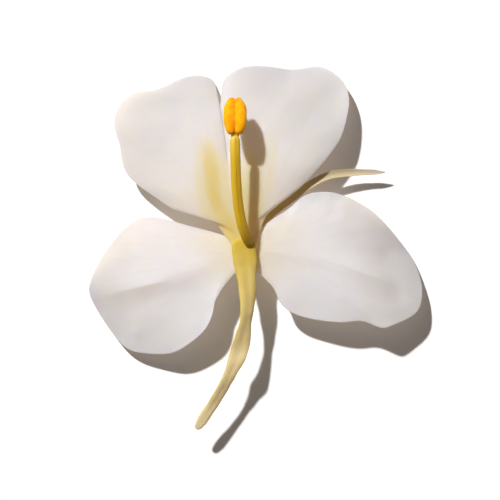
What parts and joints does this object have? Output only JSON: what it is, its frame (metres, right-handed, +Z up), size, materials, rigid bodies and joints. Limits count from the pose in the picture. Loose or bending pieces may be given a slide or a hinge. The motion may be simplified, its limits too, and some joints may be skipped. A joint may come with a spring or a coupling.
{
  "type": "ginger flower",
  "caption": "Picked white ginger lily blossom lying face up: lobed lip, broad side petals, narrow corolla lobes, flattened tube and one arching stamen with a golden anther.",
  "frame": {"origin": "middle of the footprint, on the surface that the blossom lies on", "axes": "+Z up, +Y from the end of the corolla tube towards the lip, +X towards the right-hand side petal seen from above"},
  "size_m": [0.084, 0.0915, 0.0198],
  "materials": {
    "petal": "soft satin white, translucent, pale yellow at the base",
    "tube": "fleshy satin, pale yellow with yellow-green edges",
    "corolla_lobe": "soft satin cream",
    "filament": "fleshy satin, golden yellow with a green edge",
    "connective": "fleshy satin, pale cream",
    "pollen": "matt powdery golden yellow",
    "style": "fleshy satin, pale green-yellow"
  },
  "bodies": {
    "root": {"labellum": "petal", "staminode_left": "petal", "staminode_right": "petal", "corolla_tube": "tube", "corolla_lobe_right": "corolla_lobe", "corolla_lobe_left": "corolla_lobe", "corolla_lobe_back": "corolla_lobe", "filament": "filament", "style": "style", "stigma": "style", "anther_connective": "connective", "pollen_sac_left": "pollen", "pollen_sac_right": "pollen"}
  },
  "joints": []
}
